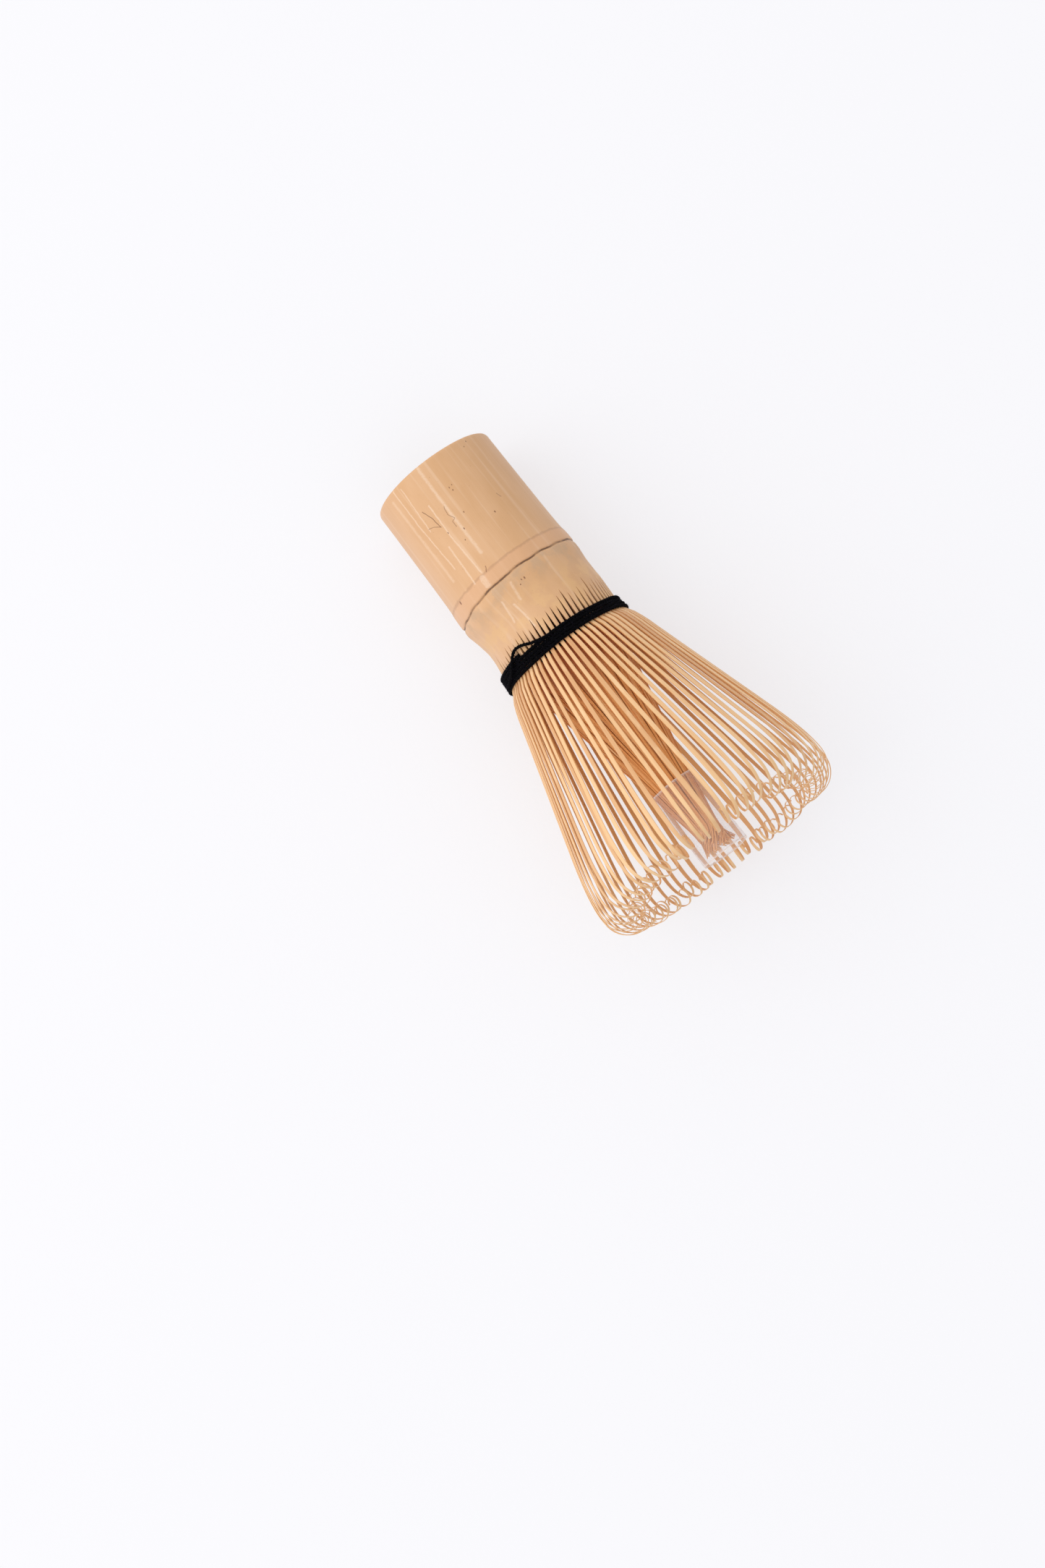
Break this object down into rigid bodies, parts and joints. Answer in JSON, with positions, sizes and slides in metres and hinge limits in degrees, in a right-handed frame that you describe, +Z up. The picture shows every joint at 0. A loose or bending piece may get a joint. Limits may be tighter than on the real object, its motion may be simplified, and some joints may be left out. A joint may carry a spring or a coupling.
{
  "type": "bamboo tea whisk",
  "caption": "Hand-carved tea whisk: a short hollow bamboo handle split into curled outer tines and a sleeved inner bundle, bound with black thread.",
  "frame": {"origin": "middle of the whisk's outer box, on the table it lies on", "axes": "+X from the handle to the tips, in plan; +Y to the side away from the slack strand; +Z up from the table"},
  "size_m": [0.1064, 0.0566, 0.0563],
  "materials": {
    "bamboo_skin": "smooth, dull satin skin with fine lengthwise fibres, pale streaks and specks",
    "bamboo_flesh": "matt cut wood of the culm's inside",
    "outer_tine_bamboo": "satin split strips, skin side out",
    "inner_tine_bamboo": "matt split strips from the inner wall",
    "black_thread": "slightly fuzzy twisted cotton",
    "clear_film": "thin clear film, open at both ends"
  },
  "bodies": {
    "handle": {"handle_culm": "bamboo_skin", "node_diaphragm": "bamboo_flesh", "binding_wraps": "black_thread", "slack_strand": "black_thread", "spreader_thread": "black_thread", "inner_tines_01": "inner_tine_bamboo", "inner_tines_02": "inner_tine_bamboo", "inner_tines_03": "inner_tine_bamboo", "inner_tines_04": "inner_tine_bamboo", "inner_tines_05": "inner_tine_bamboo", "inner_tines_06": "inner_tine_bamboo", "inner_tines_07": "inner_tine_bamboo", "inner_tines_08": "inner_tine_bamboo", "inner_tines_09": "inner_tine_bamboo", "inner_tines_10": "inner_tine_bamboo", "inner_tines_11": "inner_tine_bamboo", "inner_tines_12": "inner_tine_bamboo"},
    "outer_tines_01": {"outer_tines_01": "outer_tine_bamboo"},
    "outer_tines_02": {"outer_tines_02": "outer_tine_bamboo"},
    "outer_tines_03": {"outer_tines_03": "outer_tine_bamboo"},
    "outer_tines_04": {"outer_tines_04": "outer_tine_bamboo"},
    "outer_tines_05": {"outer_tines_05": "outer_tine_bamboo"},
    "outer_tines_06": {"outer_tines_06": "outer_tine_bamboo"},
    "outer_tines_07": {"outer_tines_07": "outer_tine_bamboo"},
    "outer_tines_08": {"outer_tines_08": "outer_tine_bamboo"},
    "outer_tines_09": {"outer_tines_09": "outer_tine_bamboo"},
    "outer_tines_10": {"outer_tines_10": "outer_tine_bamboo"},
    "outer_tines_11": {"outer_tines_11": "outer_tine_bamboo"},
    "outer_tines_12": {"outer_tines_12": "outer_tine_bamboo"},
    "sleeve": {"clear_sleeve": "clear_film"}
  },
  "joints": [
    {"name": "outer_tines_01_flex", "type": "hinge", "parent": "handle", "child": "outer_tines_01", "pos_m": [-0.00311, 0.015, 0.0211], "axis": [-0.1464, 0, 0.9892], "range_deg": [-2, 8], "stiffness_Nm_per_rad": 0.08},
    {"name": "outer_tines_02_flex", "type": "hinge", "parent": "handle", "child": "outer_tines_02", "pos_m": [-0.00421, 0.01299, 0.02852], "axis": [-0.1268, -0.5, 0.8567], "range_deg": [-2, 8], "stiffness_Nm_per_rad": 0.08},
    {"name": "outer_tines_03_flex", "type": "hinge", "parent": "handle", "child": "outer_tines_03", "pos_m": [-0.00501, 0.0075, 0.03395], "axis": [-0.0732, -0.866, 0.4946], "range_deg": [-2, 8], "stiffness_Nm_per_rad": 0.08},
    {"name": "outer_tines_04_flex", "type": "hinge", "parent": "handle", "child": "outer_tines_04", "pos_m": [-0.00531, 0, 0.03594], "axis": [0, -1, 0], "range_deg": [-2, 8], "stiffness_Nm_per_rad": 0.08},
    {"name": "outer_tines_05_flex", "type": "hinge", "parent": "handle", "child": "outer_tines_05", "pos_m": [-0.00501, -0.0075, 0.03395], "axis": [0.0732, -0.866, -0.4946], "range_deg": [-2, 8], "stiffness_Nm_per_rad": 0.08},
    {"name": "outer_tines_06_flex", "type": "hinge", "parent": "handle", "child": "outer_tines_06", "pos_m": [-0.00421, -0.01299, 0.02852], "axis": [0.1268, -0.5, -0.8567], "range_deg": [-2, 8], "stiffness_Nm_per_rad": 0.08},
    {"name": "outer_tines_07_flex", "type": "hinge", "parent": "handle", "child": "outer_tines_07", "pos_m": [-0.00311, -0.015, 0.0211], "axis": [0.1464, 0, -0.9892], "range_deg": [-2, 8], "stiffness_Nm_per_rad": 0.08},
    {"name": "outer_tines_08_flex", "type": "hinge", "parent": "handle", "child": "outer_tines_08", "pos_m": [-0.00201, -0.01299, 0.01368], "axis": [0.1268, 0.5, -0.8567], "range_deg": [-2, 8], "stiffness_Nm_per_rad": 0.08},
    {"name": "outer_tines_09_flex", "type": "hinge", "parent": "handle", "child": "outer_tines_09", "pos_m": [-0.00121, -0.0075, 0.00825], "axis": [0.0732, 0.866, -0.4946], "range_deg": [-2, 8], "stiffness_Nm_per_rad": 0.08},
    {"name": "outer_tines_10_flex", "type": "hinge", "parent": "handle", "child": "outer_tines_10", "pos_m": [-0.00091, 0, 0.00626], "axis": [0, 1, 0], "range_deg": [-2, 8], "stiffness_Nm_per_rad": 0.08},
    {"name": "outer_tines_11_flex", "type": "hinge", "parent": "handle", "child": "outer_tines_11", "pos_m": [-0.00121, 0.0075, 0.00825], "axis": [-0.0732, 0.866, 0.4946], "range_deg": [-2, 8], "stiffness_Nm_per_rad": 0.08},
    {"name": "outer_tines_12_flex", "type": "hinge", "parent": "handle", "child": "outer_tines_12", "pos_m": [-0.00201, 0.01299, 0.01368], "axis": [-0.1268, 0.5, 0.8567], "range_deg": [-2, 8], "stiffness_Nm_per_rad": 0.08},
    {"name": "sleeve_slide", "type": "slide", "parent": "handle", "child": "sleeve", "axis": [0.9892, 0, 0.1464], "range_m": [0, 0.05]}
  ]
}
